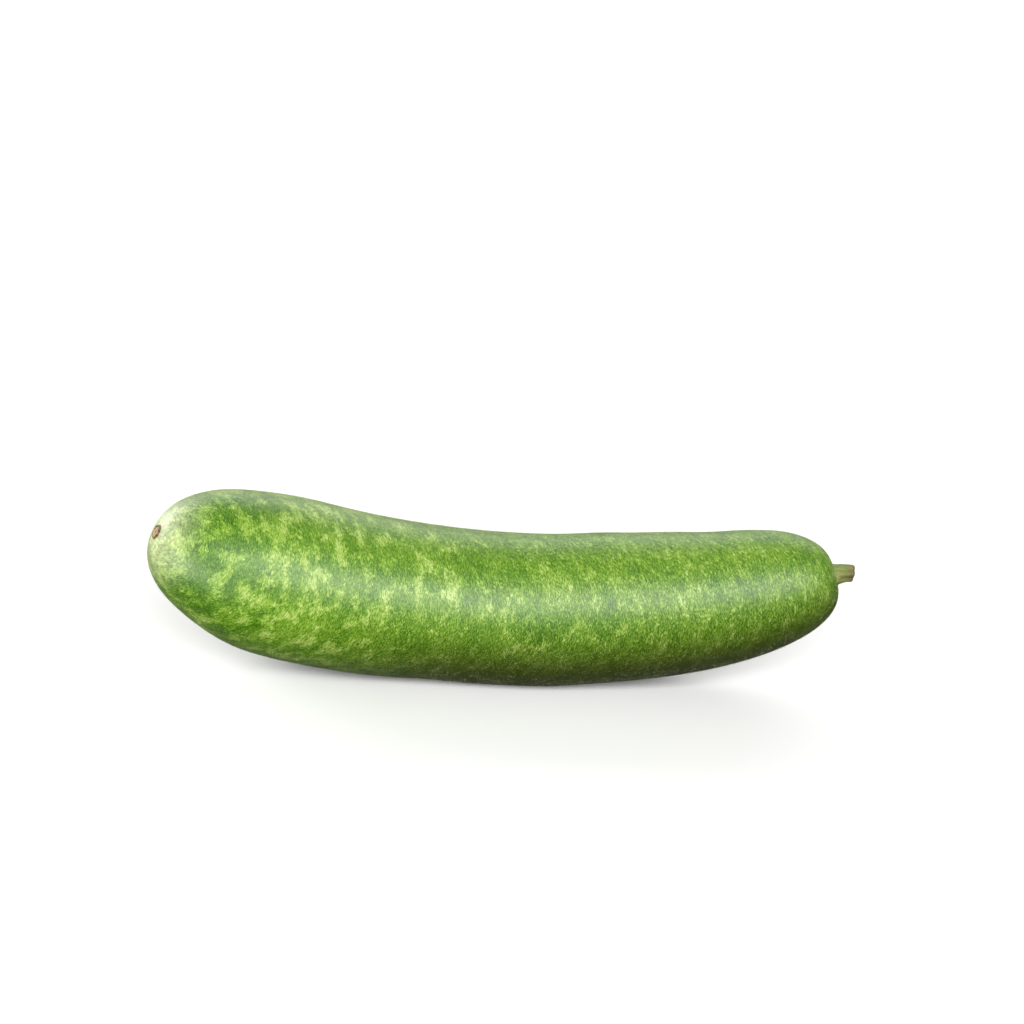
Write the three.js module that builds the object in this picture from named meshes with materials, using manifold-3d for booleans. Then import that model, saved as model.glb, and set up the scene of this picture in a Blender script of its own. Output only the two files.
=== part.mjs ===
// A whole bottle gourd, picked, lying on its belly on a level surface.
// Millimetres, +Z up, the blossom end towards -X and the cut stem towards +X.
// The origin lies on the surface, under the middle of the gourd's box.

import * as THREE from "three";
import { mergeVertices } from "three/addons/utils/BufferGeometryUtils.js";
import Module from "manifold-3d";

const { degToRad } = THREE.MathUtils;

// The fruit's size: its length along the bent axis, and its radius at three shares of that length
const FRUIT_LENGTH = 390;
const RADIUS_STATIONS = [
  { share: 0.15, radius: 46.8 },
  { share: 0.5, radius: 43.2 },
  { share: 0.85, radius: 41.1 },
];

// Each end is a superellipse: the share of the length that it takes, and how full it is
const BLOSSOM_END = { share: 0.25, fullness: 2.2 };
const STEM_END = { share: 0.39, fullness: 2.95 };

// The axis turns by this angle from end to end, and the blossom end curls up a little more
const AXIS_BEND = degToRad(38);
const CURL_START = 0.4;
const CURL = 0.77;

// Gentle swells and hollows: where they are along and around the fruit, and how far they rise in mm
const SWELL_SPREAD = degToRad(52);
const SWELLS = [
  { share: 0.13, side: 335, length: 0.045, rise: -0.5 },
  { share: 0.66, side: 335, length: 0.05, rise: 0.9 },
  { share: 0.83, side: 335, length: 0.05, rise: -1.4 },
  { share: 0.945, side: 335, length: 0.03, rise: 0.9 },
  { share: 0.08, side: 151, length: 0.04, rise: -0.7 },
  { share: 0.16, side: 151, length: 0.05, rise: 0.9 },
  { share: 0.42, side: 151, length: 0.05, rise: -1.1 },
  { share: 0.58, side: 151, length: 0.05, rise: 0.9 },
  { share: 0.3, side: 75, length: 0.08, rise: 0.6 },
  { share: 0.72, side: 80, length: 0.07, rise: -0.6 },
  { share: 0.35, side: 250, length: 0.09, rise: 1.1 },
  { share: 0.62, side: 240, length: 0.08, rise: -1.0 },
  { share: 0.9, side: 250, length: 0.06, rise: 0.7 },
];

// How it lies: the bend turned upright, the blossom end a little higher, and a small turn to one side
const LYING_POSE = new THREE.Euler(degToRad(93), degToRad(0.5), degToRad(2.1), "ZYX");

// Its own weight and its growth have flattened the belly where it rests
const BELLY_DEPTH = 2.4;
const BELLY_SOFTNESS = 0.6;

// The stem: a short stub of the stalk, ridged, wider at its root, with a dried cut end
const STEM_RADIUS = 4.4;
const STEM_ROOT_RADIUS = 6.2;
const STEM_LENGTH = 10;
const STEM_ROOT_DEPTH = 3;
const STEM_FLARE_LENGTH = 3.2;
const STEM_END_ROUNDING = 0.5;
const STEM_END_HOLLOW = 0.9;
const STEM_BEND = degToRad(-24);
const STEM_RIDGES = 5;
const STEM_RIDGE_HEIGHT = 0.55;

// The blossom scar: a corky ring with a sunken middle, a little off the tip on its +Z, -Y side
const SCAR_RADIUS = 4.2;
const SCAR_ROOT_DEPTH = 1.4;
const SCAR_RIM_HEIGHT = 0.7;
const SCAR_RIM_RADIUS = 3.3;
const SCAR_MIDDLE_HEIGHT = 0.1;
const SCAR_LOBES = 5;
const SCAR_LOBE_HEIGHT = 0.3;
const SCAR_SHARE = 0.005;
const SCAR_SIDE = degToRad(72);

// The pieces are kept this far apart where they meet
const GAP = 0.3;

// Facets
const FRUIT_SIDES = 48;
const FRUIT_ROWS = 56;
const STEM_SIDES = 40;
const STEM_ROWS = 8;
const SCAR_SIDES = 30;
const AXIS_STEPS = 400;

const SKIN = new THREE.MeshStandardMaterial({ color: "#5f9a34", roughness: 0.42, metalness: 0 });
const STALK = new THREE.MeshStandardMaterial({ color: "#7c8a3f", roughness: 0.75, metalness: 0 });
const CORK = new THREE.MeshStandardMaterial({ color: "#7a5c3a", roughness: 0.9, metalness: 0 });

const wasm = await Module();
wasm.setup();

// A curve in the XY plane, given by its heading at each share of its length; its middle is the origin
class HeadedCurve extends THREE.Curve {
  constructor(length, heading, middle) {
    super();
    this.heading = heading;
    this.points = [new THREE.Vector3()];
    const step = length / AXIS_STEPS;
    for (let i = 0; i < AXIS_STEPS; i += 1) {
      const angle = heading((i + 0.5) / AXIS_STEPS);
      const move = new THREE.Vector3(Math.cos(angle), Math.sin(angle), 0).multiplyScalar(step);
      this.points.push(this.points[i].clone().add(move));
    }
    this.start = this.getPoint(middle).negate();
  }

  getPoint(share) {
    const along = THREE.MathUtils.clamp(share, 0, 1) * AXIS_STEPS;
    const before = Math.min(Math.floor(along), AXIS_STEPS - 1);
    const point = this.points[before].clone().lerp(this.points[before + 1], along - before);
    return this.start ? point.add(this.start) : point;
  }

  // The curve's directions at a share of it: along it, across it in its plane, and out of its plane
  getFrame(share) {
    const angle = this.heading(THREE.MathUtils.clamp(share, 0, 1));
    return {
      along: new THREE.Vector3(Math.cos(angle), Math.sin(angle), 0),
      across: new THREE.Vector3(-Math.sin(angle), Math.cos(angle), 0),
      aside: new THREE.Vector3(0, 0, 1),
    };
  }
}

const fruitAxis = new HeadedCurve(
  FRUIT_LENGTH,
  (share) => AXIS_BEND * (share - 0.5) - CURL * Math.max(CURL_START - share, 0) ** 2,
  0.5,
);
const stemAxis = new HeadedCurve(STEM_LENGTH, (share) => STEM_BEND * share, 0);

// The radius that passes smoothly through the three stations, before the ends are rounded
function bodyRadius(share) {
  return RADIUS_STATIONS.reduce((sum, station) => {
    const others = RADIUS_STATIONS.filter((other) => other !== station);
    const weight = others.reduce((w, other) => w * (share - other.share) / (station.share - other.share), 1);
    return sum + station.radius * weight;
  }, 0);
}

// How much of the radius is left at a distance from the tip, as a share of the fruit's length
function endRounding(distance, end) {
  const inside = Math.max(1 - distance / end.share, 0);
  return (1 - inside ** end.fullness) ** (1 / end.fullness);
}

function fruitRadius(share) {
  return bodyRadius(share) * endRounding(share, BLOSSOM_END) * endRounding(1 - share, STEM_END);
}

// The swells' rise at a place on the skin, less where the fruit is thin
function swellRise(share, side) {
  const thickness = fruitRadius(share) / RADIUS_STATIONS[0].radius;
  return SWELLS.reduce((sum, swell) => {
    const turn = side - degToRad(swell.side);
    const around = Math.atan2(Math.sin(turn), Math.cos(turn)) / SWELL_SPREAD;
    const along = (share - swell.share) / swell.length;
    return sum + swell.rise * thickness * Math.exp(-along * along - around * around);
  }, 0);
}

// A height above the surface after the belly is flattened: unchanged high up, level low down
function flattened(height) {
  return (height + Math.hypot(height, BELLY_SOFTNESS)) / 2 - BELLY_SOFTNESS / 4;
}

// Calls move for each vertex, which changes it in place
function moveVertices(geometry, move) {
  const position = geometry.getAttribute("position");
  const vertex = new THREE.Vector3();
  for (let i = 0; i < position.count; i += 1) {
    vertex.fromBufferAttribute(position, i);
    move(vertex);
    position.setXYZ(i, vertex.x, vertex.y, vertex.z);
  }
  return geometry;
}

// Bends a lathed shape, whose own axis is +Y, along a curve
function bendAlong(geometry, curve, length) {
  return moveVertices(geometry, (vertex) => {
    const share = vertex.y / length;
    const frame = curve.getFrame(share);
    const beyond = vertex.y - THREE.MathUtils.clamp(vertex.y, 0, length);
    const { x, z } = vertex;
    vertex.copy(curve.getPoint(share));
    vertex.addScaledVector(frame.along, beyond).addScaledVector(frame.across, z).addScaledVector(frame.aside, x);
  });
}

function toSolid(geometry) {
  const bare = geometry.clone();
  bare.deleteAttribute("normal");
  bare.deleteAttribute("uv");
  const merged = mergeVertices(bare);
  const vertProperties = new Float32Array(merged.getAttribute("position").array);
  const triVerts = new Uint32Array(merged.getIndex().array);
  return new wasm.Manifold(new wasm.Mesh({ numProp: 3, vertProperties, triVerts }));
}

function toGeometry(solid) {
  const mesh = solid.getMesh();
  const geometry = new THREE.BufferGeometry();
  geometry.setAttribute("position", new THREE.BufferAttribute(mesh.vertProperties, 3));
  geometry.setIndex(new THREE.BufferAttribute(mesh.triVerts, 1));
  geometry.computeVertexNormals();
  return geometry;
}

// The fruit's rows are closer together at its ends, where its radius changes fast
function straightFruit() {
  const profile = [];
  for (let row = 0; row <= FRUIT_ROWS; row += 1) {
    const share = (1 - Math.cos((Math.PI * row) / FRUIT_ROWS)) / 2;
    const isTip = row === 0 || row === FRUIT_ROWS;
    profile.push(new THREE.Vector2(isTip ? 0 : fruitRadius(share), share * FRUIT_LENGTH));
  }
  return new THREE.LatheGeometry(profile, FRUIT_SIDES);
}

function swellFruit(geometry) {
  return moveVertices(geometry, (vertex) => {
    const radius = Math.hypot(vertex.x, vertex.z);
    if (radius === 0) return;
    const grown = 1 + swellRise(vertex.y / FRUIT_LENGTH, Math.atan2(vertex.x, vertex.z)) / radius;
    vertex.x *= grown;
    vertex.z *= grown;
  });
}

// The fruit as it lies, still round below, with its axis through the origin
function lyingFruit() {
  const fruit = bendAlong(swellFruit(straightFruit()), fruitAxis, FRUIT_LENGTH);
  return fruit.applyMatrix4(new THREE.Matrix4().makeRotationFromEuler(LYING_POSE));
}

const roundFruit = lyingFruit();
roundFruit.computeBoundingBox();
const AXIS_HEIGHT = -roundFruit.boundingBox.min.z - BELLY_DEPTH;

// Moves a place in the fruit's own bent frame to where it lies above the surface
function layDown(point) {
  point.applyEuler(LYING_POSE);
  point.z = flattened(point.z + AXIS_HEIGHT);
  return point;
}

function skinPoint(share, side) {
  const frame = fruitAxis.getFrame(share);
  const radius = fruitRadius(share);
  const point = fruitAxis.getPoint(share);
  point.addScaledVector(frame.across, radius * Math.cos(side));
  point.addScaledVector(frame.aside, radius * Math.sin(side));
  return layDown(point);
}

// The skin's outward direction, from its slopes along and around the fruit
function skinNormal(share, side) {
  const shareStep = share / 10;
  const sideStep = degToRad(1);
  const along = skinPoint(share + shareStep, side).sub(skinPoint(share - shareStep, side));
  const around = skinPoint(share, side + sideStep).sub(skinPoint(share, side - sideStep));
  return around.cross(along).normalize();
}

// Where the stem's root is: on the tip, turned as the fruit's axis is there
function stemPlacement() {
  const frame = fruitAxis.getFrame(1);
  const axes = [frame.along, frame.across, frame.aside].map((axis) => axis.applyEuler(LYING_POSE));
  return new THREE.Matrix4().makeBasis(...axes).setPosition(layDown(fruitAxis.getPoint(1)));
}

// Where the scar is: on the skin, facing out of it
function scarPlacement() {
  const upright = new THREE.Vector3(0, 1, 0);
  const turn = new THREE.Quaternion().setFromUnitVectors(upright, skinNormal(SCAR_SHARE, SCAR_SIDE));
  return new THREE.Matrix4().makeRotationFromQuaternion(turn).setPosition(skinPoint(SCAR_SHARE, SCAR_SIDE));
}

// The stem's outline from the root's middle to the hollow of its cut end, grown by a gap for its socket
function stemProfile(gap) {
  const profile = [new THREE.Vector2(0, -STEM_ROOT_DEPTH - gap)];
  for (let row = 0; row <= STEM_ROWS; row += 1) {
    const height = -STEM_ROOT_DEPTH + ((STEM_ROOT_DEPTH + STEM_LENGTH - STEM_END_ROUNDING) * row) / STEM_ROWS;
    const flare = (STEM_ROOT_RADIUS - STEM_RADIUS) * Math.exp(-Math.max(height, 0) / STEM_FLARE_LENGTH);
    profile.push(new THREE.Vector2(STEM_RADIUS + flare + gap, row === 0 ? height - gap : height));
  }
  profile.push(new THREE.Vector2(STEM_RADIUS - STEM_END_ROUNDING + gap, STEM_LENGTH));
  profile.push(new THREE.Vector2(STEM_RADIUS / 2, STEM_LENGTH - STEM_END_HOLLOW));
  profile.push(new THREE.Vector2(0, STEM_LENGTH - STEM_END_HOLLOW));
  return profile;
}

// Lobes or ridges around a lathed shape, fading in over a height from its root
function raiseLobes(geometry, count, rise, fadeHeight) {
  return moveVertices(geometry, (vertex) => {
    const radius = Math.hypot(vertex.x, vertex.z);
    if (radius === 0) return;
    const fade = fadeHeight ? THREE.MathUtils.smoothstep(vertex.y, 0, fadeHeight) : 1;
    const grown = 1 + (rise * fade * Math.cos(count * Math.atan2(vertex.x, vertex.z))) / radius;
    vertex.x *= grown;
    vertex.z *= grown;
  });
}

function stemGeometry(gap) {
  const straight = new THREE.LatheGeometry(stemProfile(gap), STEM_SIDES);
  raiseLobes(straight, STEM_RIDGES, STEM_RIDGE_HEIGHT, STEM_FLARE_LENGTH);
  return bendAlong(straight, stemAxis, STEM_LENGTH);
}

function scarGeometry(gap) {
  const profile = [
    new THREE.Vector2(0, -SCAR_ROOT_DEPTH - gap),
    new THREE.Vector2(SCAR_RIM_RADIUS + gap, -SCAR_ROOT_DEPTH - gap),
    new THREE.Vector2(SCAR_RADIUS + gap, SCAR_MIDDLE_HEIGHT),
    new THREE.Vector2(SCAR_RIM_RADIUS, SCAR_RIM_HEIGHT),
    new THREE.Vector2(SCAR_RIM_RADIUS / 2, SCAR_MIDDLE_HEIGHT),
    new THREE.Vector2(0, SCAR_MIDDLE_HEIGHT),
  ];
  const disc = new THREE.LatheGeometry(profile, SCAR_SIDES);
  return raiseLobes(disc, SCAR_LOBES, SCAR_LOBE_HEIGHT, 0);
}

// The level surface, as a block below it that trims the belly flat
function surfaceBlock() {
  const block = new THREE.BoxGeometry(FRUIT_LENGTH, FRUIT_LENGTH, FRUIT_LENGTH);
  return block.translate(0, 0, -FRUIT_LENGTH / 2);
}

function fruitGeometry() {
  const fruit = moveVertices(roundFruit.clone(), (vertex) => {
    vertex.z = flattened(vertex.z + AXIS_HEIGHT);
  });
  const stemSocket = stemGeometry(GAP).applyMatrix4(stemPlacement());
  const scarSocket = scarGeometry(GAP).applyMatrix4(scarPlacement());
  const cutters = [surfaceBlock(), stemSocket, scarSocket];
  return toGeometry(cutters.reduce((solid, cutter) => solid.subtract(toSolid(cutter)), toSolid(fruit)));
}

function namedMesh(name, geometry, material, placement = new THREE.Matrix4()) {
  const mesh = new THREE.Mesh(geometry, material);
  mesh.name = name;
  mesh.applyMatrix4(placement);
  return mesh;
}

const gourd = new THREE.Group();
gourd.add(namedMesh("fruit", fruitGeometry(), SKIN));
gourd.add(namedMesh("stem", stemGeometry(0), STALK, stemPlacement()));
gourd.add(namedMesh("blossom_scar", scarGeometry(0), CORK, scarPlacement()));

const middle = new THREE.Box3().setFromObject(gourd, true).getCenter(new THREE.Vector3());
gourd.position.set(-middle.x, -middle.y, 0);

export default gourd;
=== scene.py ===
"""A whole bottle gourd lying on its belly on a pale floor, in soft studio light.

Metres, +Z up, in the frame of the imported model: the blossom end towards -X, the cut stem towards +X.
Every piece is swept round a path by a Geometry Nodes tree, which is written here as plain formulas.
"""

from __future__ import annotations

import logging
import math
from collections.abc import Iterable
from dataclasses import dataclass, field
from enum import Enum

import bpy
from mathutils import Euler, Matrix, Vector


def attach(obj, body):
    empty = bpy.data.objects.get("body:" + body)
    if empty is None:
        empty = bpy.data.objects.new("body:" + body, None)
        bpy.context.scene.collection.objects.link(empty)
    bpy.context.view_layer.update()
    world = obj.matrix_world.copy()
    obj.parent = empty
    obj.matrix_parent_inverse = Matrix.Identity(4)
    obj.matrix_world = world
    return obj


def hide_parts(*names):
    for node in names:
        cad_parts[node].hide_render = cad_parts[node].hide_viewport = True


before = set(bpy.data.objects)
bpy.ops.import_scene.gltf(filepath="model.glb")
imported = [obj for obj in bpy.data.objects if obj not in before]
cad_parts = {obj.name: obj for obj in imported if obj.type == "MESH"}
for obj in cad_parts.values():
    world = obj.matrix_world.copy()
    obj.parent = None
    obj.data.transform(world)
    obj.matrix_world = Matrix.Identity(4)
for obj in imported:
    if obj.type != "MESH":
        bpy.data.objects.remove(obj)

log = logging.getLogger("bottle_gourd")

MM = 0.001
TAU = 2 * math.pi
SEAM = 0.01 * MM
BODY = "root"
PLACE = "skin_place"

Number = "Term | float"


class Side(Enum):
    """A side of a node group that a socket is on."""

    IN = "INPUT"
    OUT = "OUTPUT"


class Kind(Enum):
    """The kinds of socket that the node groups here use."""

    FLOAT = "NodeSocketFloat"
    INT = "NodeSocketInt"
    VECTOR = "NodeSocketVector"
    MATERIAL = "NodeSocketMaterial"
    GEOMETRY = "NodeSocketGeometry"


def linear(code: str) -> tuple[float, float, float, float]:
    """Turns a colour as it is seen on a screen into the linear colour that shading needs.

    Args:
        code: Six hexadecimal digits, such as "5f9a34".

    Returns:
        Red, green, blue and an alpha of 1.
    """
    parts = [int(code[i : i + 2], 16) / 255 for i in (0, 2, 4)]
    curve = [part / 12.92 if part <= 0.04045 else ((part + 0.055) / 1.055) ** 2.4 for part in parts]
    return (*curve, 1.0)


@dataclass(frozen=True, eq=False)
class Term:
    """A value in a node tree. Sums, products and powers of terms add the nodes that work them out."""

    sheet: Sheet
    socket: bpy.types.NodeSocket

    def _math(self, operation: str, *values: Number) -> Term:
        """Adds one Math node.

        Args:
            operation: The node's operation.
            *values: What it works on, in the order of its sockets.

        Returns:
            The node's result.
        """
        node = self.sheet.node("ShaderNodeMath", dict(enumerate(values)), operation=operation)
        return Term(self.sheet, node.outputs[0])

    def __add__(self, other: Number) -> Term:
        """The sum."""
        return self._math("ADD", self, other)

    def __sub__(self, other: Number) -> Term:
        """The difference."""
        return self._math("SUBTRACT", self, other)

    def __rsub__(self, other: float) -> Term:
        """The difference, with the plain number first."""
        return self._math("SUBTRACT", other, self)

    def __mul__(self, other: Number) -> Term:
        """The product."""
        return self._math("MULTIPLY", self, other)

    def __rmul__(self, other: float) -> Term:
        """The product, with the plain number first."""
        return self._math("MULTIPLY", other, self)

    def __truediv__(self, other: Number) -> Term:
        """The quotient."""
        return self._math("DIVIDE", self, other)

    def __pow__(self, other: Number) -> Term:
        """The power."""
        return self._math("POWER", self, other)

    def at_least(self, other: Number) -> Term:
        """The larger of the two."""
        return self._math("MAXIMUM", self, other)

    def at_most(self, other: Number) -> Term:
        """The smaller of the two."""
        return self._math("MINIMUM", self, other)

    def cos(self) -> Term:
        """The cosine."""
        return self._math("COSINE", self)

    def sin(self) -> Term:
        """The sine."""
        return self._math("SINE", self)

    def exp(self) -> Term:
        """e to this power."""
        return self._math("EXPONENT", self)

    def away_from(self, angle: Number) -> Term:
        """How far this angle is from another, between minus and plus half a turn."""
        turn = self - angle
        return self._math("ARCTAN2", turn.sin(), turn.cos())

    def bell(self, middle: Number, width: Number) -> Term:
        """A bell curve: 1 at the middle, and near 0 two widths away from it."""
        away = (self - middle) / width
        return (away * away * -1.0).exp()

    def above(self, level: Number) -> Term:
        """1 where this is more than the level, and 0 elsewhere."""
        return self._math("GREATER_THAN", self, level)

    def step(self, low: Number, high: Number) -> Term:
        """A smooth step from 0 at low to 1 at high; high may be the smaller of the two."""
        values = {"Value": self, "From Min": low, "From Max": high}
        node = self.sheet.node("ShaderNodeMapRange", values, interpolation_type="SMOOTHSTEP")
        return Term(self.sheet, node.outputs[0])


class Sheet:
    """A node tree with the nodes, formulas and named inputs that are written on it."""

    def __init__(self, tree: bpy.types.NodeTree) -> None:
        """Starts on a tree.

        Args:
            tree: A geometry tree, a shader group or a material's own tree.
        """
        self.tree = tree
        self.settings: dict[str, object] = {}
        self._entry: bpy.types.Node | None = None

    def feed(self, socket: bpy.types.NodeSocket, value: object) -> None:
        """Links a term or socket to a socket, or sets a plain value on it."""
        source = value.socket if isinstance(value, Term) else value
        if isinstance(source, bpy.types.NodeSocket):
            self.tree.links.new(source, socket)
        else:
            socket.default_value = source

    def node(self, kind: str, values: dict | None = None, **settings: object) -> bpy.types.Node:
        """Adds a node.

        Args:
            kind: The node's type.
            values: What goes into its inputs, by name or number.
            **settings: The node's own settings.

        Returns:
            The new node.
        """
        node = self.tree.nodes.new(kind)
        for name, setting in settings.items():
            setattr(node, name, setting)
        for name, value in (values or {}).items():
            self.feed(node.inputs[name], value)
        return node

    def term(self, kind: str, values: dict | None = None, output: str | int = 0, **settings: object) -> Term:
        """Adds a node and returns one of its outputs as a term."""
        return Term(self, self.node(kind, values, **settings).outputs[output])

    def entry(self, name: str, kind: Kind, setting: object) -> Term:
        """Adds a named input to the tree.

        Args:
            name: The input's name.
            kind: What it holds.
            setting: Its value on the piece that uses the tree.

        Returns:
            The input as a term.
        """
        if self._entry is None:
            self._entry = self.tree.nodes.new("NodeGroupInput")
        socket = self.tree.interface.new_socket(name=name, in_out=Side.IN.value, socket_type=kind.value)
        self.settings[socket.identifier] = setting
        return Term(self, self._entry.outputs[name])

    def leave(self, results: dict[str, tuple[Kind, object]]) -> None:
        """Adds the tree's outputs and what feeds them.

        Args:
            results: For each output's name, its kind and its value.
        """
        for name, (kind, _) in results.items():
            self.tree.interface.new_socket(name=name, in_out=Side.OUT.value, socket_type=kind.value)
        self.node("NodeGroupOutput", {name: value for name, (_, value) in results.items()})

    def vector(self, x: Number, y: Number, z: Number) -> Term:
        """A vector from its three parts."""
        return self.term("ShaderNodeCombineXYZ", {"X": x, "Y": y, "Z": z})

    def parts(self, vector: Term) -> tuple[Term, Term, Term]:
        """The three parts of a vector."""
        outputs = self.node("ShaderNodeSeparateXYZ", {"Vector": vector}).outputs
        return Term(self, outputs["X"]), Term(self, outputs["Y"]), Term(self, outputs["Z"])

    def join(self, operation: str, *values: Term | Vector, output: str = "Vector") -> Term:
        """Adds one Vector Math node and returns its vector, or its number where output is "Value"."""
        return self.term("ShaderNodeVectorMath", dict(enumerate(values)), output, operation=operation)

    def scaled(self, vector: Term | Vector, by: Number) -> Term:
        """A vector made longer or shorter."""
        return self.term("ShaderNodeVectorMath", {0: vector, "Scale": by}, "Vector", operation="SCALE")

    def noise(self, place: Term, size: float, seed: Number, detail: float, rough: float) -> Term:
        """Soft random values around 0.5.

        Args:
            place: Where they are read.
            size: The size of their lumps, in metres.
            seed: Another seed gives another pattern.
            detail: How many finer layers are added.
            rough: How strong the finer layers are.

        Returns:
            The value at the place.
        """
        values = {"Vector": place, "W": seed, "Scale": 1 / size, "Detail": detail, "Roughness": rough}
        return self.term("ShaderNodeTexNoise", values, 0, noise_dimensions="4D")

    def mix(self, share: Number, first: object, second: object) -> Term:
        """A blend of two colours: the first where share is 0, and the second where it is 1."""
        node = self.node("ShaderNodeMix", {0: share, 6: first, 7: second}, data_type="RGBA")
        return Term(self, node.outputs[2])

    def ramp(self, score: Term, stops: Iterable[tuple[float, str]]) -> Term:
        """A colour from a scale of colours.

        Args:
            score: Where on the scale, from 0 to 1.
            stops: Places on the scale and their colours.

        Returns:
            The colour there.
        """
        node = self.node("ShaderNodeValToRGB", {"Fac": score})
        scale = node.color_ramp.elements
        for i, (position, code) in enumerate(stops):
            stop = scale[i] if i < len(scale) else scale.new(position)
            stop.position = position
            stop.color = linear(code)
        return Term(self, node.outputs["Color"])


@dataclass(frozen=True)
class Bend:
    """A path in a plane, given by how much it turns along its length."""

    length: float
    turn: float
    curl: float = 0.0
    curl_start: float = 0.4
    middle: float = 0.5
    steps: int = 400

    def heading(self, share: float) -> float:
        """The path's direction at a share of its length, as an angle from its middle's direction."""
        return self.turn * (share - self.middle) - self.curl * max(self.curl_start - share, 0) ** 2

    def points(self) -> list[Vector]:
        """Points at equal steps along the path, with the middle at the origin."""
        step = self.length / self.steps
        points = [Vector((0, 0, 0))]
        for i in range(self.steps):
            angle = self.heading((i + 0.5) / self.steps)
            points.append(points[-1] + Vector((math.cos(angle), math.sin(angle), 0)) * step)
        middle = points[round(self.middle * self.steps)]
        return [point - middle for point in points]

    def directions(self, share: float) -> tuple[Vector, Vector, Vector]:
        """Along the path, across it in its plane, and out of its plane."""
        angle = self.heading(share)
        along = Vector((math.cos(angle), math.sin(angle), 0))
        across = Vector((-math.sin(angle), math.cos(angle), 0))
        return along, across, Vector((0, 0, 1))


@dataclass(frozen=True)
class RoundEnd:
    """A superellipse that closes an end: the share of the length that it takes, and how full it is."""

    share: float
    fullness: float


@dataclass(frozen=True)
class Swell:
    """A gentle rise, or a hollow where rise is negative, at a share of the length and a side in degrees."""

    share: float
    side: float
    length: float
    rise: float


@dataclass(frozen=True)
class Section:
    """What a swept piece is like at each place: where it is on the path, and how far out from it."""

    share: Term
    beyond: Number
    radius: Term
    place: Term


class SweptPiece:
    """A closed skin that a Geometry Nodes tree sweeps round a path."""

    name: str
    node: str
    slot: str
    rows: int
    sides: int

    def path(self) -> list[Vector]:
        """The path's points in the frame."""
        raise NotImplementedError

    def aside(self) -> Vector:
        """The direction out of the path's plane, in the frame."""
        raise NotImplementedError

    def section(self, sheet: Sheet, down: Term, side: Term) -> Section:
        """The piece's shape.

        Args:
            sheet: The tree that the formulas are written on.
            down: From 0 to 1 along the skin, from its first pole to its last.
            side: The angle round the path.

        Returns:
            The section there.
        """
        raise NotImplementedError

    def settle(self, sheet: Sheet, position: Term) -> Term:
        """Changes the swept positions last of all. Most pieces leave them as they are."""
        return position

    def tree(self, material: bpy.types.Material) -> Sheet:
        """Builds the tree that makes the piece.

        Args:
            material: The piece's finish.

        Returns:
            The finished tree, with its inputs' values.
        """
        sheet = Sheet(bpy.data.node_groups.new(f"{self.name}_shape", "GeometryNodeTree"))
        path = sheet.entry("Path", Kind.GEOMETRY, None)
        rows = sheet.entry("Rows", Kind.INT, self.rows)
        sides = sheet.entry("Sides", Kind.INT, self.sides)
        out = sheet.entry("Aside", Kind.VECTOR, self.aside())
        finish = sheet.entry("Finish", Kind.MATERIAL, material)
        curve = sheet.term("GeometryNodeMeshToCurve", {"Mesh": path})
        grid = sheet.term("GeometryNodeMeshGrid", {0: 1.0, 1: 1.0, 2: rows + 1.0, 3: sides + 1.0})
        flat_x, flat_y, _ = sheet.parts(sheet.term("GeometryNodeInputPosition"))
        side = (flat_y + 0.5) * -TAU
        section = self.section(sheet, flat_x + 0.5, side)
        sample = {"Curves": curve, "Factor": section.share}
        reading = sheet.node("GeometryNodeSampleCurve", sample, mode="FACTOR").outputs
        along = Term(sheet, reading["Tangent"])
        across = sheet.join("CROSS_PRODUCT", out, along)
        position = Term(sheet, reading["Position"])
        for direction, reach in (
            (across, section.radius * side.cos()),
            (out, section.radius * side.sin()),
            (along, section.beyond),
        ):
            position = sheet.join("ADD", position, sheet.scaled(direction, reach))
        values = {"Geometry": grid, "Name": PLACE, "Value": section.place}
        marked = sheet.term("GeometryNodeStoreNamedAttribute", values, data_type="FLOAT_VECTOR")
        moved = {"Geometry": marked, "Position": self.settle(sheet, position)}
        swept = sheet.term("GeometryNodeSetPosition", moved)
        closed = sheet.term("GeometryNodeMergeByDistance", {"Geometry": swept, "Distance": SEAM})
        smooth = sheet.term("GeometryNodeSetShadeSmooth", {"Geometry": closed})
        real = sheet.term("GeometryNodeRealizeInstances", {"Geometry": smooth})
        dressed = sheet.term("GeometryNodeSetMaterial", {"Geometry": real, "Material": finish})
        sheet.leave({"Piece": (Kind.GEOMETRY, dressed)})
        return sheet

    def build(self, material: bpy.types.Material) -> bpy.types.Object:
        """Makes the piece as a plain mesh, in place of its node.

        Args:
            material: The piece's finish.

        Returns:
            The finished object.
        """
        points = self.path()
        line = bpy.data.meshes.new(f"{self.name}_path")
        line.from_pydata(points, [(i, i + 1) for i in range(len(points) - 1)], [])
        piece = bpy.data.objects.new(self.name, line)
        bpy.context.scene.collection.objects.link(piece)
        shape_by(piece, self.tree(material))
        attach(piece, BODY)
        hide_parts(self.node)
        return piece


def shape_by(piece: bpy.types.Object, sheet: Sheet) -> None:
    """Runs a tree on a piece, and keeps the result as the piece's own plain mesh.

    Args:
        piece: The object, with the mesh that the tree starts from.
        sheet: The tree, with its inputs' values.
    """
    modifier = piece.modifiers.new("shape", "NODES")
    modifier.node_group = sheet.tree
    for identifier, setting in sheet.settings.items():
        if setting is not None:
            modifier[identifier] = setting
    graph = bpy.context.evaluated_depsgraph_get()
    evaluated = piece.evaluated_get(graph)
    mesh = bpy.data.meshes.new_from_object(evaluated, preserve_all_data_layers=True, depsgraph=graph)
    piece.modifiers.clear()
    piece.data = mesh


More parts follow.
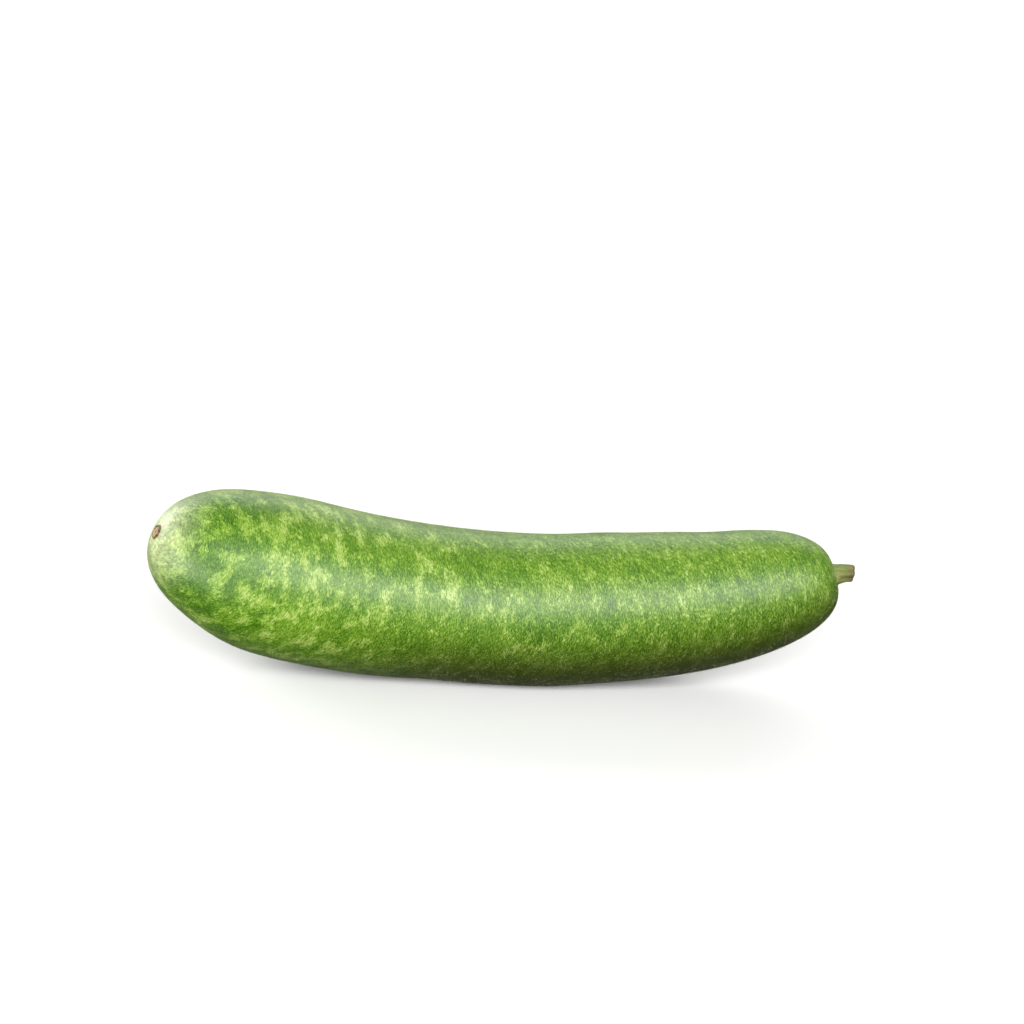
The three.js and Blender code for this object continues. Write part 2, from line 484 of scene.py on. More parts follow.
@dataclass
class Fruit(SweptPiece):
    """The gourd itself: long, bent, round at both ends, and flattened where it lies."""

    name: str = "fruit_skin"
    node: str = "fruit"
    slot: str = "skin"
    rows: int = 420
    sides: int = 228
    bend: Bend = Bend(390 * MM, math.radians(38), curl=0.77)
    stations: tuple[tuple[float, float], ...] = ((0.15, 46.8 * MM), (0.5, 43.2 * MM), (0.85, 41.1 * MM))
    blossom_end: RoundEnd = RoundEnd(0.25, 2.2)
    stem_end: RoundEnd = RoundEnd(0.39, 2.95)
    lying: Euler = field(default_factory=lambda: Euler([math.radians(a) for a in (93, 0.5, 2.1)]))
    middle: Vector = field(default_factory=lambda: Vector((-4.689, 3.307, 40.713)) * MM)
    softness: float = 0.6 * MM
    swell_spread: float = math.radians(52)
    swells: tuple[Swell, ...] = (
        Swell(0.13, 335, 0.045, -0.5 * MM),
        Swell(0.66, 335, 0.05, 0.9 * MM),
        Swell(0.83, 335, 0.05, -1.4 * MM),
        Swell(0.945, 335, 0.03, 0.9 * MM),
        Swell(0.08, 151, 0.04, -0.7 * MM),
        Swell(0.16, 151, 0.05, 0.9 * MM),
        Swell(0.42, 151, 0.05, -1.1 * MM),
        Swell(0.58, 151, 0.05, 0.9 * MM),
        Swell(0.3, 75, 0.08, 0.6 * MM),
        Swell(0.72, 80, 0.07, -0.6 * MM),
        Swell(0.35, 250, 0.09, 1.1 * MM),
        Swell(0.62, 240, 0.08, -1.0 * MM),
        Swell(0.9, 250, 0.06, 0.7 * MM),
    )
    scar_share: float = 0.005
    scar_side: float = math.radians(72)
    relief: float = 0.22 * MM
    lump: float = 26 * MM
    seed: float = 3.0

    def turned(self) -> Matrix:
        """The rotation that lays the gourd down."""
        return self.lying.to_matrix()

    def path(self) -> list[Vector]:
        """The axis as it lies, from the blossom end to the stem end."""
        return [self.middle + self.turned() @ point for point in self.bend.points()]

    def aside(self) -> Vector:
        """The direction out of the plane that the gourd bends in."""
        return self.turned() @ Vector((0, 0, 1))

    def radius(self, share: Number) -> Number:
        """The radius at a share of the length, as a term or as a number, without swells."""
        total: Number = 0.0
        for here, size in self.stations:
            weight: Number = size
            for other, _ in self.stations:
                if other != here:
                    weight = weight * (share - other) * (1 / (here - other))
            total = weight + total
        return total * self.closing(share, self.blossom_end) * self.closing(1.0 - share, self.stem_end)

    @staticmethod
    def closing(distance: Number, end: RoundEnd) -> Number:
        """How much of the radius is left at a distance from a tip, as a share of the length."""
        inside = 1.0 - distance * (1 / end.share)
        inside = inside.at_least(0.0) if isinstance(inside, Term) else max(inside, 0.0)
        return (1.0 - inside**end.fullness) ** (1 / end.fullness)

    def tip_place(self) -> Vector:
        """The scar's place on the straightened gourd, which the skin's patterns are laid out on."""
        radius = self.radius(self.scar_share)
        height = self.scar_share * self.bend.length
        return Vector((height, radius * math.cos(self.scar_side), radius * math.sin(self.scar_side)))

    def section(self, sheet: Sheet, down: Term, side: Term) -> Section:
        """Rows close together at both ends, the radius with its swells, and a fine relief."""
        share = (1.0 - (down * math.pi).cos()) * 0.5
        length = sheet.entry("Length", Kind.FLOAT, self.bend.length)
        relief = sheet.entry("Relief", Kind.FLOAT, self.relief)
        seed = sheet.entry("Seed", Kind.FLOAT, self.seed)
        radius = self.radius(share)
        thickness = radius * (1 / self.stations[0][1])
        smooth_place = sheet.vector(share * length, radius * side.cos(), radius * side.sin())
        rise: Number = 0.0
        for swell in self.swells:
            around = side.away_from(math.radians(swell.side)).bell(0.0, self.swell_spread)
            rise = share.bell(swell.share, swell.length) * around * swell.rise + rise
        lumps = sheet.noise(smooth_place, self.lump, seed, 3.0, 0.45) - 0.5
        radius = radius + rise * thickness + lumps * relief * thickness
        return Section(share, 0.0, radius, smooth_place)

    def settle(self, sheet: Sheet, position: Term) -> Term:
        """Flattens the belly: unchanged high up, level on the surface."""
        x, y, z = sheet.parts(position)
        soft = (z * z + self.softness**2) ** 0.5
        level = (z + soft) * 0.5 - self.softness / 4
        return sheet.vector(x, y, level.at_least(0.0))


@dataclass
class Stem(SweptPiece):
    """The stub of the stalk: ridged, wider at its root, with a dried and hollow cut end."""

    fruit: Fruit
    name: str = "stem_stub"
    node: str = "stem"
    slot: str = "stalk"
    rows: int = 120
    sides: int = 120
    length: float = 10 * MM
    root_depth: float = 3 * MM
    radius: float = 4.4 * MM
    root_radius: float = 6.2 * MM
    flare: float = 3.2 * MM
    ridges: int = 5
    ridge_height: float = 0.55 * MM
    droop: float = math.radians(-24)
    wall_part: float = 0.7
    edge: float = 0.5 * MM
    hollow: float = 1.1 * MM
    fibre: float = 1.1 * MM
    fibre_depth: float = 0.5 * MM
    crumb: float = 1.4 * MM
    crumb_depth: float = 0.7 * MM
    seed: float = 5.0

    def turned(self) -> Matrix:
        """The rotation from the stem's own plane to the frame, as the fruit's axis points at its tip."""
        axes = self.fruit.bend.directions(1.0)
        return self.fruit.turned() @ Matrix(axes).transposed()

    def bend(self) -> Bend:
        """The stub's short path."""
        return Bend(self.length, self.droop, middle=0.0, steps=40)

    def path(self) -> list[Vector]:
        """The stub's path from the fruit's tip outwards."""
        root = self.fruit.path()[-1] - Vector((0, 0, self.fruit.softness / 4))
        return [root + self.turned() @ point for point in self.bend().points()]

    def aside(self) -> Vector:
        """The direction out of the plane that the stub droops in."""
        return self.turned() @ Vector((0, 0, 1))

    def section(self, sheet: Sheet, down: Term, side: Term) -> Section:
        """The wall from the root to the rim, and then the cut end from the rim to its middle."""
        length = sheet.entry("Length", Kind.FLOAT, self.length)
        ridge = sheet.entry("Ridge Height", Kind.FLOAT, self.ridge_height)
        seed = sheet.entry("Seed", Kind.FLOAT, self.seed)
        wall = (down / self.wall_part).at_most(1.0)
        inward = ((down - self.wall_part) / (1 - self.wall_part)).at_least(0.0)
        height = (wall * (self.length + self.root_depth) - self.root_depth) * (length / self.length)
        flare = (height.at_least(0.0) * (-1 / self.flare)).exp() * (self.root_radius - self.radius)
        ridges = (side * float(self.ridges)).cos() * height.step(0.0, self.flare) * ridge
        outer = flare + self.radius + ridges
        place = sheet.vector(height, outer * side.cos(), outer * side.sin())
        fibre_place = sheet.vector(height * 0.15, outer * side.cos(), outer * side.sin())
        fibres = (sheet.noise(fibre_place, self.fibre, seed, 3.0, 0.6) - 0.5) * self.fibre_depth
        rounding = 1.0 - (1.0 - wall).step(0.06, 0.0) * (self.edge / self.radius)
        reach = (outer * rounding + fibres) * (1.0 - inward) * down.step(0.0, 0.02)
        rough = (sheet.noise(place, self.crumb, seed + 1.0, 3.0, 0.6) - 0.5) * self.crumb_depth
        sunk = inward.step(0.0, 0.75) * -self.hollow + rough * inward.step(0.0, 0.1)
        skin = sheet.vector(height + inward * self.radius, reach * side.cos(), reach * side.sin())
        return Section(height / length, sunk + height.at_most(0.0), reach, skin)


@dataclass
class BlossomScar(SweptPiece):
    """The corky ring that the flower left, with a sunken middle, a five-lobed edge and a crumbled face."""

    fruit: Fruit
    name: str = "scar_ring"
    node: str = "blossom_scar"
    slot: str = "cork"
    rows: int = 110
    sides: int = 132
    radius: float = 4.2 * MM
    root_depth: float = 1.4 * MM
    rim_radius: float = 3.3 * MM
    rim_height: float = 0.7 * MM
    rim_width: float = 0.8 * MM
    middle_height: float = 0.1 * MM
    lobes: int = 5
    lobe_height: float = 0.3 * MM
    wall_part: float = 0.25
    crumb: float = 1.2 * MM
    crumb_depth: float = 1.0 * MM
    seed: float = 9.0

    def outward(self) -> Vector:
        """The skin's outward direction where the scar is."""
        step = math.radians(1)
        share, side = self.fruit.scar_share, self.fruit.scar_side
        along = self.skin_point(share * 1.1, side) - self.skin_point(share * 0.9, side)
        around = self.skin_point(share, side + step) - self.skin_point(share, side - step)
        return around.cross(along).normalized()

    def skin_point(self, share: float, side: float) -> Vector:
        """A point of the fruit's skin near the tip, where swells and the flattening hardly reach."""
        points = self.fruit.path()
        at = share * (len(points) - 1)
        before = int(at)
        axis = points[before].lerp(points[before + 1], at - before)
        _, across, out = self.fruit.bend.directions(share)
        reach = across * math.cos(side) + out * math.sin(side)
        drop = Vector((0, 0, self.fruit.softness / 4))
        return axis + self.fruit.turned() @ reach * self.fruit.radius(share) - drop

    def path(self) -> list[Vector]:
        """A short straight path out of the skin."""
        start = self.skin_point(self.fruit.scar_share, self.fruit.scar_side)
        return [start, start + self.outward() * MM]

    def aside(self) -> Vector:
        """A direction along the skin."""
        return self.outward().orthogonal().normalized()

    def section(self, sheet: Sheet, down: Term, side: Term) -> Section:
        """The buried wall up to the edge, and then the ring and its middle."""
        rim_height = sheet.entry("Rim Height", Kind.FLOAT, self.rim_height)
        rim_width = sheet.entry("Rim Width", Kind.FLOAT, self.rim_width)
        seed = sheet.entry("Seed", Kind.FLOAT, self.seed)
        wall = (down / self.wall_part).at_most(1.0)
        inward = ((down - self.wall_part) / (1 - self.wall_part)).at_least(0.0)
        lobed = (side * float(self.lobes)).cos() * self.lobe_height
        reach = (1.0 - inward) * wall.step(0.0, 0.2) * (lobed + self.radius)
        place = sheet.vector(reach * side.cos(), reach * side.sin(), wall * self.root_depth)
        crumbs = (sheet.noise(place, self.crumb, seed, 4.0, 0.65) - 0.5) * self.crumb_depth
        ring = reach.bell(self.rim_radius, rim_width) * rim_height
        top = ring + self.middle_height + crumbs * inward.step(0.0, 0.15)
        height = (wall - 1.0) * self.root_depth + top * inward.step(0.0, 0.12)
        ragged = crumbs * 0.3 * inward.step(0.0, 0.1) * (1.0 - inward)
        return Section(down * 0.0, height, reach + ragged, place)


@dataclass
class Down:
    """The short pale down on all but the lowest part of the skin, lit along the outline."""

    skin: bpy.types.Object
    name: str = "fruit_down"
    slot: str = "skin"
    density: float = 380000.0
    length: float = 1.1 * MM
    thickness: float = 0.1 * MM
    shortest: float = 0.5
    longest: float = 1.2
    lean: float = 0.9
    stray: float = 1.3
    clear_of_floor: float = 3 * MM
    seed: int = 7

    def tree(self, material: bpy.types.Material) -> Sheet:
        """Builds the tree that scatters the hairs over the skin.

        Args:
            material: The hairs' finish.

        Returns:
            The finished tree, with its inputs' values.
        """
        sheet = Sheet(bpy.data.node_groups.new("down_scatter", "GeometryNodeTree"))
        skin = sheet.entry("Skin", Kind.GEOMETRY, None)
        density = sheet.entry("Density", Kind.FLOAT, self.density)
        length = sheet.entry("Length", Kind.FLOAT, self.length)
        thickness = sheet.entry("Thickness", Kind.FLOAT, self.thickness)
        seed = sheet.entry("Seed", Kind.INT, self.seed)
        finish = sheet.entry("Finish", Kind.MATERIAL, material)
        _, _, height = sheet.parts(sheet.term("GeometryNodeInputPosition"))
        clear = height.above(self.clear_of_floor)
        values = {"Mesh": skin, "Selection": clear, "Density": density, "Seed": seed}
        scattered = sheet.node("GeometryNodeDistributePointsOnFaces", values).outputs
        normal = Term(sheet, scattered["Normal"])
        around = sheet.join("CROSS_PRODUCT", normal, Vector((1.0, 0.0, 0.0)))
        stray = {0: Vector((-self.stray,) * 3), 1: Vector((self.stray,) * 3), "Seed": seed}
        strays = sheet.term("FunctionNodeRandomValue", stray, 0, data_type="FLOAT_VECTOR")
        pointing = sheet.join("ADD", sheet.join("ADD", normal, sheet.scaled(around, self.lean)), strays)
        turn = sheet.term("FunctionNodeAlignRotationToVector", {"Vector": pointing}, axis="Z")
        blade = {"Vertices": 3, "Radius Top": 0.0, "Radius Bottom": thickness * 0.5, "Depth": length}
        hair = sheet.term("GeometryNodeMeshCone", blade, fill_type="NONE")
        spread = {2: self.shortest, 3: self.longest, "Seed": seed + 1.0}
        sizes = sheet.term("FunctionNodeRandomValue", spread, 1, data_type="FLOAT")
        points = Term(sheet, scattered["Points"])
        values = {"Points": points, "Instance": hair, "Rotation": turn, "Scale": sizes}
        standing = sheet.term("GeometryNodeInstanceOnPoints", values)
        real = sheet.term("GeometryNodeRealizeInstances", {"Geometry": standing})
        dressed = sheet.term("GeometryNodeSetMaterial", {"Geometry": real, "Material": finish})
        sheet.leave({"Piece": (Kind.GEOMETRY, dressed)})
        return sheet

    def build(self, material: bpy.types.Material) -> bpy.types.Object:
        """Makes the down as one plain mesh.

        Args:
            material: The hairs' finish.

        Returns:
            The finished object.
        """
        piece = bpy.data.objects.new(self.name, self.skin.data.copy())
        bpy.context.scene.collection.objects.link(piece)
        shape_by(piece, self.tree(material))
        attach(piece, BODY)
        return piece


class Effects:
    """The shader groups that more than one finish uses, each built once."""

    def __init__(self) -> None:
        """Builds the groups."""
        self.mottle = self._mottle()
        self.grain = self._grain()

    @staticmethod
    def _mottle() -> bpy.types.NodeTree:
        """Soft patches: a mask from noise of one size, broken up by noise of another."""
        sheet = Sheet(bpy.data.node_groups.new("mottle", "ShaderNodeTree"))
        place = sheet.entry("Place", Kind.VECTOR, None)
        scale = sheet.entry("Scale", Kind.FLOAT, None)
        crumble = sheet.entry("Crumble", Kind.FLOAT, None)
        seed = sheet.entry("Seed", Kind.FLOAT, None)
        low = sheet.entry("Low", Kind.FLOAT, None)
        high = sheet.entry("High", Kind.FLOAT, None)
        values = {"Vector": place, "W": seed, "Detail": 2.0}
        broad = sheet.term("ShaderNodeTexNoise", {**values, "Scale": scale}, 0, noise_dimensions="4D")
        fine_scale = {**values, "Scale": scale * 5.0, "Detail": 4.0, "Roughness": 0.7}
        fine = sheet.term("ShaderNodeTexNoise", fine_scale, 0, noise_dimensions="4D")
        score = broad + (fine - 0.5) * crumble
        sheet.leave({"Mask": (Kind.FLOAT, score.step(low, high))})
        return sheet.tree

    @staticmethod
    def _grain() -> bpy.types.NodeTree:
        """Fine grain: a shade that varies around 1, and a height for a bump."""
        sheet = Sheet(bpy.data.node_groups.new("grain", "ShaderNodeTree"))
        place = sheet.entry("Place", Kind.VECTOR, None)
        scale = sheet.entry("Scale", Kind.FLOAT, None)
        contrast = sheet.entry("Contrast", Kind.FLOAT, None)
        seed = sheet.entry("Seed", Kind.FLOAT, None)
        values = {"Vector": place, "W": seed, "Scale": scale, "Detail": 4.0, "Roughness": 0.62}
        height = sheet.term("ShaderNodeTexNoise", values, 0, noise_dimensions="4D")
        shade = (height - 0.5) * contrast + 1.0
        sheet.leave({"Shade": (Kind.FLOAT, shade), "Height": (Kind.FLOAT, height)})
        return sheet.tree


class Coat:
    """A material that is being written: its tree, its place on the skin, and its shader."""

    def __init__(self, name: str, effects: Effects) -> None:
        """Starts an empty material.

        Args:
            name: The material's name.
            effects: The shared shader groups.
        """
        self.material = bpy.data.materials.new(name)
        self.material.use_nodes = True
        self.material.node_tree.nodes.clear()
        self.sheet = Sheet(self.material.node_tree)
        self.effects = effects

    def place(self) -> Term:
        """The place on the skin that the piece's tree stored."""
        return self.sheet.term("ShaderNodeAttribute", output="Vector", attribute_name=PLACE)

    def mottle(
        self, place: Term, size: float, crumble: float, edges: tuple[Number, Number], seed: float
    ) -> Term:
        """Adds soft patches.

        Args:
            place: Where they are read.
            size: About how large they are, in metres.
            crumble: How far finer noise breaks them up.
            edges: The noise values where a patch begins and where it is full.
            seed: Another seed gives another pattern.

        Returns:
            Their mask.
        """
        values = {"Place": place, "Scale": 1 / size, "Crumble": crumble, "Seed": seed}
        values |= {"Low": edges[0], "High": edges[1]}
        return self.sheet.term("ShaderNodeGroup", values, "Mask", node_tree=self.effects.mottle)

    def grain(self, place: Term, size: float, contrast: float, seed: float) -> tuple[Term, Term]:
        """Adds fine grain.

        Args:
            place: Where it is read.
            size: About how coarse it is, in metres.
            contrast: How far its shade goes from 1.
            seed: Another seed gives another pattern.

        Returns:
            Its shade and its height.
        """
        values = {"Place": place, "Scale": 1 / size, "Contrast": contrast, "Seed": seed}
        outputs = self.sheet.node("ShaderNodeGroup", values, node_tree=self.effects.grain).outputs
        return Term(self.sheet, outputs["Shade"]), Term(self.sheet, outputs["Height"])

    def finish(self, color: Term, roughness: Number, height: Term, depth: float, **settings: object) -> None:
        """Adds the shader and the output.

        Args:
            color: The base colour.
            roughness: The roughness.
            height: What the bump reads.
            depth: How deep the bump is, in metres.
            **settings: The shader's own sockets, with spaces as underscores.
        """
        bump = self.sheet.term("ShaderNodeBump", {"Height": height, "Distance": depth, "Strength": 1.0})
        values = {"Base Color": color, "Roughness": roughness, "Normal": bump}
        values |= {name.replace("_", " "): setting for name, setting in settings.items()}
        shader = self.sheet.term("ShaderNodeBsdfPrincipled", values)
        self.sheet.node("ShaderNodeOutputMaterial", {"Surface": shader})


@dataclass(frozen=True)
class Layer:
    """One layer of a pattern: its size in metres, how strongly it counts, and its seed."""

    size: float
    strength: float
    seed: float


@dataclass(frozen=True)
class SkinFinish:
    """The gourd's skin: boldly blotched at the blossom end, and flecked with fewer blotches at the stem end.

    The colour runs up a scale of greens by one score, which is the sum of soft patches, blotches,
    short flecks and a fine grain. The strokes run round the gourd and lean over on one side of it.
    Cream lies over that round the scar, with a painted cream rim glow on the side turned away from the
    camera, and a painted olive shade on the belly.
    """

    fruit: Fruit
    greens: tuple[tuple[float, str], ...] = (
        (0.0, "2c5004"),
        (0.3, "446f08"),
        (0.55, "6b9122"),
        (0.8, "96ad4e"),
        (1.0, "b2c282"),
    )
    lean: float = 0.7
    lean_side: float = math.radians(67)
    squeeze: float = 1.5
    dash_squeeze: float = 3.3
    patch: Layer = Layer(18 * MM, 0.9, 2.0)
    blotch: Layer = Layer(10 * MM, 0.34, 11.0)
    fleck: Layer = Layer(6 * MM, 0.3, 23.0)
    grain: Layer = Layer(1.6 * MM, 2.0, 41.0)
    stem_end_grain: float = 0.7
    stem_end_fewer: float = 0.15
    level: float = 0.37
    blossom_end_darker: float = 0.15
    cream: str = "dfe3b2"
    scar_cream: float = 0.6
    # Strength of the painted cream rim glow on the skin turned away from the camera.
    painted_glow_strength: float = 0.24
    # Colour and strength of the painted shade on the lower side.
    olive: str = "2e2b08"
    belly_shade: float = 0.85
    down_color: str = "e9f0d4"

    def material(self, effects: Effects) -> bpy.types.Material:
        """Writes the material.

        Args:
            effects: The shared shader groups.

        Returns:
            The material.
        """
        coat = Coat("gourd_skin", effects)
        sheet = coat.sheet
        place = coat.place()
        x, y, z = sheet.parts(place)
        share = x / self.fruit.bend.length
        facing = y * math.cos(self.lean_side) + z * math.sin(self.lean_side)
        score, height = self._score(coat, x - facing * self.lean, y, z, share.step(0.1, 0.75))
        from_scar = sheet.join("DISTANCE", place, self.fruit.tip_place(), output="Value")
        # Darker green within about 100 mm of the scar: partly the skin's darker patches, partly painted
        # shade on the blossom end.
        score = score + self.level - from_scar.step(100 * MM, 35 * MM) * self.blossom_end_darker
        color = sheet.ramp(score, self.greens)
        # Painted rim glow: cream laid on where the skin turns away from the camera, near the blossom end.
        far_side = 1.0 - (facing / (y * y + z * z) ** 0.5).step(-0.4, 0.75)
        painted_rim_glow = far_side * share.step(0.6, 0.0) * self.painted_glow_strength
        # pale is the real cream round the scar, or the painted rim glow where that is stronger.
        pale = painted_rim_glow.at_least(from_scar.step(40 * MM, 3 * MM) * self.scar_cream)
        color = sheet.mix(pale * (score * 0.9 + 0.45).at_most(1.0), color, linear(self.cream))
        # Painted shade: the lower side darkens towards olive, from the middle to the stem end.
        belly = (y / self.fruit.stations[1][1]).step(0.35, -0.65) * share.step(0.2, 0.5)
        color = sheet.mix(belly * self.belly_shade, color, linear(self.olive))
        coat.finish(
            color,
            (height - 0.5) * 0.3 + 0.42,
            height,
            0.2 * MM,
            Specular_IOR_Level=0.55,
            Sheen_Weight=0.06,
            Sheen_Roughness=0.4,
            Sheen_Tint=linear(self.down_color),
        )
        return coat.material

    def _score(self, coat: Coat, along: Term, y: Term, z: Term, towards_stem: Term) -> tuple[Term, Term]:
        """Adds up the layers of the pattern.

        Args:
            coat: The material that is being written.
            along: The place along the gourd, leaning as the strokes do.
            y: The place across it.
            z: The place across it, the other way.
            towards_stem: From 0 at the blossom end to 1 at the stem end.

        Returns:
            The score around 0, and the grain's height.
        """
        stroke = coat.sheet.vector(along * self.squeeze, y, z)
        dash = coat.sheet.vector(along * self.dash_squeeze, y, z)
        patches = coat.sheet.noise(stroke, self.patch.size, self.patch.seed, 3.0, 0.9) - 0.5
        fewer = towards_stem * self.stem_end_fewer
        edges = (fewer + 0.43, fewer + 0.63)
        blotches = coat.mottle(stroke, self.blotch.size, 0.8, edges, self.blotch.seed)
        flecks = coat.mottle(dash, self.fleck.size, 1.0, (0.52, 0.74), self.fleck.seed)
        shade, height = coat.grain(dash, self.grain.size, 1.0, self.grain.seed)
        score = patches * self.patch.strength + blotches * self.blotch.strength
        score = score + flecks * (towards_stem * 0.7 + 0.3) * self.fleck.strength
        score = score + (shade - 1.0) * (towards_stem * self.stem_end_grain + self.grain.strength)
        return score, height


@dataclass(frozen=True)
class DownFinish:
    """The hairs of the down: pale green to silver, and dull."""

    pale: str = "a9c078"
    silver: str = "d0dcae"

    def material(self, effects: Effects) -> bpy.types.Material:
        """Writes the material.

        Args:
            effects: The shared shader groups.

        Returns:
            The material.
        """
        coat = Coat("pale_down", effects)
        sheet = coat.sheet
        place = sheet.term("ShaderNodeTexCoord", output="Object")
        tufts = coat.mottle(place, 6 * MM, 0.8, (0.35, 0.65), 3.0)
        color = sheet.mix(tufts, linear(self.pale), linear(self.silver))
        shade, height = coat.grain(place, 2 * MM, 0.6, 8.0)
        coat.finish(sheet.scaled(color, shade), 0.7, height, 0.01 * MM, Specular_IOR_Level=0.3)
        return coat.material


@dataclass(frozen=True)
class StalkFinish:
    """The cut stalk: olive green and fibrous, brown and dry on its cut end."""

    stem: Stem
    green: str = "66763a"
    straw: str = "8f8a50"
    brown: str = "5e472c"
    dark: str = "35281a"
    cut_depth: float = 1.2 * MM

    def material(self, effects: Effects) -> bpy.types.Material:
        """Writes the material.

        Args:
            effects: The shared shader groups.

        Returns:
            The material.
        """
        coat = Coat("stalk", effects)
        sheet = coat.sheet
        place = coat.place()
        x, y, z = sheet.parts(place)
        fibres = sheet.vector(x * 0.2, y, z)
        patches = coat.mottle(fibres, 2.2 * MM, 0.7, (0.42, 0.62), 3.0)
        color = sheet.mix(patches * 0.7, linear(self.green), linear(self.straw))
        drying = x.step(self.stem.length * 0.35, self.stem.length) * 0.6
        color = sheet.mix(drying, color, linear(self.brown))
        pores = coat.mottle(place, 1.1 * MM, 0.8, (0.4, 0.62), 7.0)
        dry = sheet.mix(pores, linear(self.brown), linear(self.dark))
        cut = x.step(self.stem.length - self.cut_depth, self.stem.length)
        color = sheet.mix(cut, color, dry)
        shade, height = coat.grain(fibres, 0.5 * MM, 0.9, 13.0)
        coat.finish(sheet.scaled(color, shade), 0.78, height, 0.25 * MM)
        return coat.material


@dataclass(frozen=True)
class CorkFinish:
    """The blossom scar's dry cork: tan, with a dark rim and dark remains."""

    scar: BlossomScar
    tan: str = "a8906c"
    brown: str = "5c422c"
    dark: str = "33241a"
    rim_shift: float = 0.5 * MM

    def material(self, effects: Effects) -> bpy.types.Material:
        """Writes the material.

        Args:
            effects: The shared shader groups.

        Returns:
            The material.
        """
        coat = Coat("cork", effects)
        sheet = coat.sheet
        place = coat.place()
        x, y, _ = sheet.parts(place)
        reach = (x * x + y * y) ** 0.5
        rim = reach.bell(self.scar.rim_radius + self.rim_shift, self.scar.rim_width)
        color = sheet.mix(rim * 0.85, linear(self.tan), linear(self.brown))
        pits = coat.mottle(place, 2.0 * MM, 0.6, (0.52, 0.62), 5.0)
        color = sheet.mix(pits * 0.9, color, linear(self.dark))
        shade, height = coat.grain(place, 0.5 * MM, 1.1, 19.0)
        coat.finish(sheet.scaled(color, shade), 0.85, height, 0.3 * MM)
        return coat.material


@dataclass(frozen=True)
class Softbox:
    """An area light: where it is, how large, how strong, and what it is turned towards."""

    name: str
    place: tuple[float, float, float]
    size: tuple[float, float]
    power: float
    target: tuple[float, float, float] = (0.0, 0.0, 0.05)

    def build(self) -> None:
        """Adds the light to the scene."""
        data = bpy.data.lights.new(self.name, "AREA")
        data.shape = "RECTANGLE"
        data.size, data.size_y = self.size
        data.energy = self.power
        light = bpy.data.objects.new(self.name, data)
        bpy.context.scene.collection.objects.link(light)
        towards = Vector(self.target) - Vector(self.place)
        light.location = self.place
        light.rotation_euler = towards.to_track_quat("-Z", "Y").to_euler()
        light.visible_camera = False


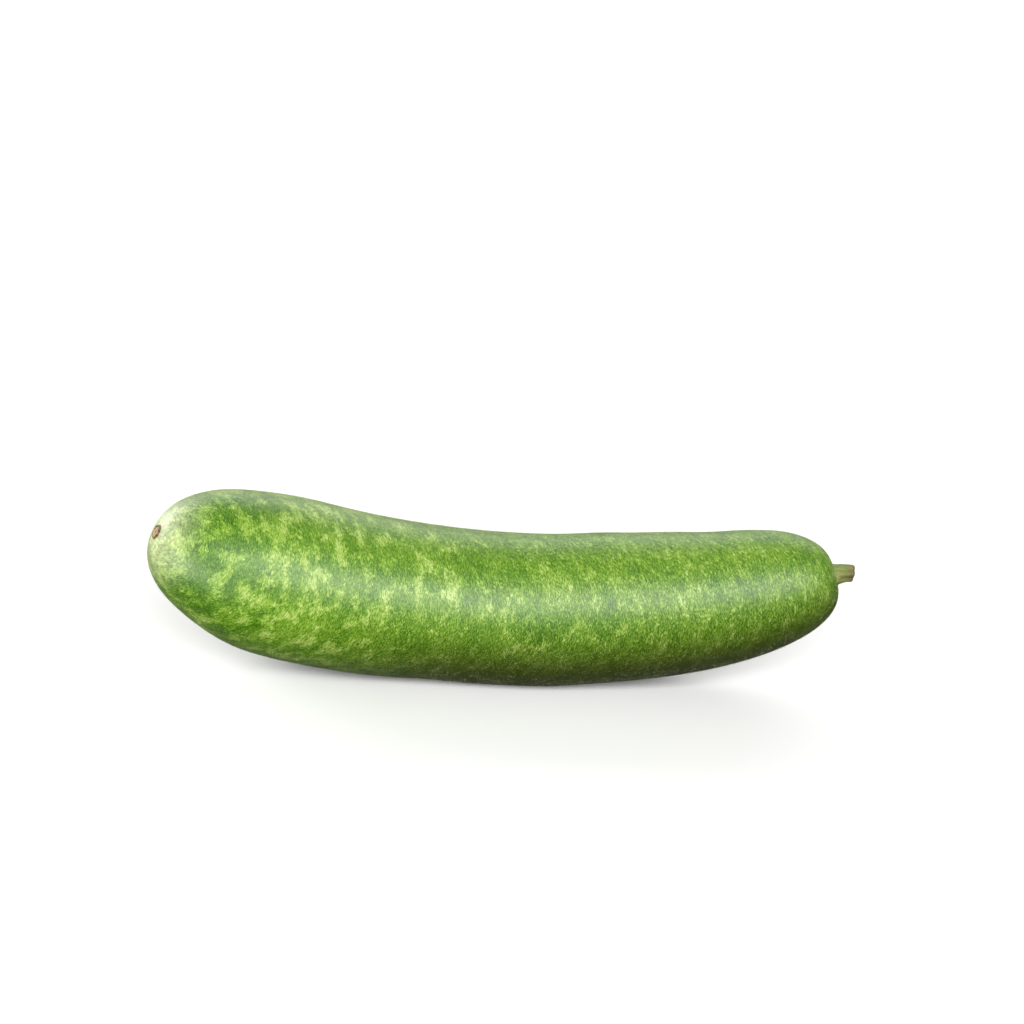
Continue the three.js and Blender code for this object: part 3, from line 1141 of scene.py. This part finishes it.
@dataclass
class Studio:
    """The pale floor, the soft lights and the camera."""

    floor_size: float = 24.0
    floor_color: str = "eeeeec"
    glow_begins: float = 0.1
    glow_is_full: float = 1.1
    sky_strength: float = 0.2
    sky_begins: float = -0.35
    sky_is_full: float = 0.4
    backdrop: float = 1.0
    lights: tuple[Softbox, ...] = (
        Softbox("front_box", (0.35, -1.3, 0.88), (2.4, 0.75), 50.0),
        Softbox("left_box", (-0.85, 0.45, 0.3), (0.6, 0.35), 5.0),
        Softbox("low_box", (-0.45, -0.28, 0.05), (0.3, 0.08), 1.2, (-0.13, 0.0, 0.03)),
        Softbox("back_box", (-0.1, 1.2, 0.9), (2.4, 0.5), 14.0),
    )
    camera_from_middle: Vector = field(default_factory=lambda: Vector((8.3, -995.0, 420.0)) * MM)
    looks_down: float = math.radians(20)
    roll: float = math.radians(3.4)
    view_angle: float = math.radians(30)

    def build(self, fruit: Fruit) -> None:
        """Builds the studio round the gourd."""
        self._camera(fruit)
        self._floor()
        self._sky()
        for light in self.lights:
            light.build()

    def _camera(self, fruit: Fruit) -> None:
        """Puts the camera at the viewing angle."""
        data = bpy.data.cameras.new("camera")
        data.angle = self.view_angle
        camera = bpy.data.objects.new("camera", data)
        bpy.context.scene.collection.objects.link(camera)
        place = Matrix.Translation(fruit.middle + self.camera_from_middle)
        tilt = Matrix.Rotation(math.pi / 2 - self.looks_down, 4, "X")
        camera.matrix_world = place @ tilt @ Matrix.Rotation(self.roll, 4, "Z")
        bpy.context.scene.camera = camera

    def _floor(self) -> None:
        """Lays a wide pale floor, which glows further off, where the lights don't reach.

        It takes the gourd's shadow, and sends no light back to its underside.
        """
        half = self.floor_size / 2
        mesh = bpy.data.meshes.new("floor")
        corners = [(-half, -half, 0), (half, -half, 0), (half, half, 0), (-half, half, 0)]
        mesh.from_pydata(corners, [], [(0, 1, 2, 3)])
        floor = bpy.data.objects.new("floor", mesh)
        bpy.context.scene.collection.objects.link(floor)
        material = bpy.data.materials.new("pale_floor")
        material.use_nodes = True
        material.node_tree.nodes.clear()
        sheet = Sheet(material.node_tree)
        place = sheet.term("ShaderNodeTexCoord", output="Object")
        away = sheet.join("LENGTH", place, output="Value")
        glow = sheet.scaled(Vector((1, 1, 1)), away.step(self.glow_begins, self.glow_is_full))
        values = {"Base Color": linear(self.floor_color), "Roughness": 0.9, "Specular IOR Level": 0.1}
        values |= {"Emission Color": glow, "Emission Strength": 1.0}
        shader = sheet.term("ShaderNodeBsdfPrincipled", values)
        sheet.node("ShaderNodeOutputMaterial", {"Surface": shader})
        mesh.materials.append(material)
        floor.visible_diffuse = False
        floor.visible_glossy = False

    def _sky(self) -> None:
        """Surrounds the scene with dim even light from above, in front of a white backdrop."""
        world = bpy.data.worlds.new("white_surround")
        world.use_nodes = True
        world.node_tree.nodes.clear()
        sheet = Sheet(world.node_tree)
        seen = sheet.term("ShaderNodeLightPath", output="Is Camera Ray")
        _, _, upwards = sheet.parts(sheet.term("ShaderNodeTexCoord", output="Generated"))
        dim = upwards.step(self.sky_begins, self.sky_is_full) * self.sky_strength
        strength = seen * (self.backdrop - dim) + dim
        values = {"Color": (1.0, 1.0, 1.0, 1.0), "Strength": strength}
        background = sheet.term("ShaderNodeBackground", values)
        sheet.node("ShaderNodeOutputWorld", {"Surface": background})
        bpy.context.scene.world = world


def main() -> None:
    """Builds the gourd and its studio."""
    logging.basicConfig(level=logging.INFO, format="%(message)s")
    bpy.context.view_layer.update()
    bpy.context.scene.view_settings.view_transform = "Standard"
    effects = Effects()
    fruit = Fruit()
    Studio().build(fruit)
    stem = Stem(fruit)
    scar = BlossomScar(fruit)
    skin = fruit.build(SkinFinish(fruit).material(effects))
    made = [
        skin,
        Down(skin).build(DownFinish().material(effects)),
        stem.build(StalkFinish(stem).material(effects)),
        scar.build(CorkFinish(scar).material(effects)),
    ]
    for piece in made:
        log.info("%s: %d faces", piece.name, len(piece.data.polygons))


if __name__ == "__main__":
    main()
